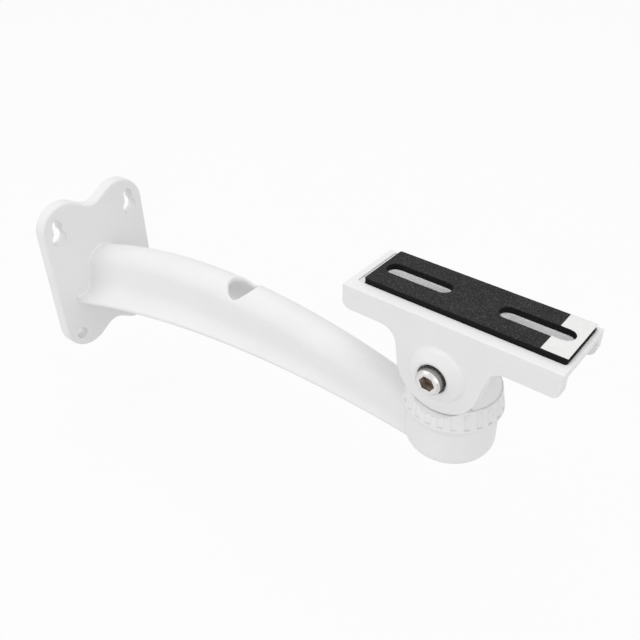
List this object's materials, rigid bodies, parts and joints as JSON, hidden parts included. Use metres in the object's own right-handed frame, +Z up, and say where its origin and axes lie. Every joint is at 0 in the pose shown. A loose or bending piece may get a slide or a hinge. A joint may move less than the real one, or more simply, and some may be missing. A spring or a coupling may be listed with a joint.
{
  "type": "camera wall bracket",
  "caption": "Wall bracket for a camera: a plate with an arched open-bottomed arm, a panning swivel in its cup and a tilting slotted tray with a foam pad.",
  "frame": {"origin": "middle of the four wall anchor points, at the plate's back face", "axes": "+X away from the wall along the arm, +Z up, +Y to the left when facing away from the wall"},
  "size_m": [0.3424, 0.08, 0.1408],
  "materials": {
    "white_coat": "cast aluminium under a smooth satin white coating",
    "stainless": "bright stainless steel",
    "foam": "matt black cellular rubber",
    "liner": "satin release paper"
  },
  "bodies": {
    "arm": {"arm_casting": "white_coat"},
    "pan_head": {"swivel": "white_coat", "pan_bolt": "stainless", "pan_washer": "stainless", "pan_spring_washer": "stainless"},
    "tilt_head": {"camera_tray": "white_coat", "tilt_screw": "stainless", "tilt_washer": "stainless", "tilt_nut": "stainless", "foam_pad": "foam", "liner_strip": "liner"}
  },
  "joints": [
    {"name": "pan", "type": "hinge", "parent": "arm", "child": "pan_head", "pos_m": [0.286, 0, 0.0231], "axis": [0, 0, 1], "continuous": true},
    {"name": "tilt", "type": "hinge", "parent": "pan_head", "child": "tilt_head", "pos_m": [0.286, 0, 0.055], "axis": [0, 1, 0], "range_deg": [-45, 45]}
  ]
}
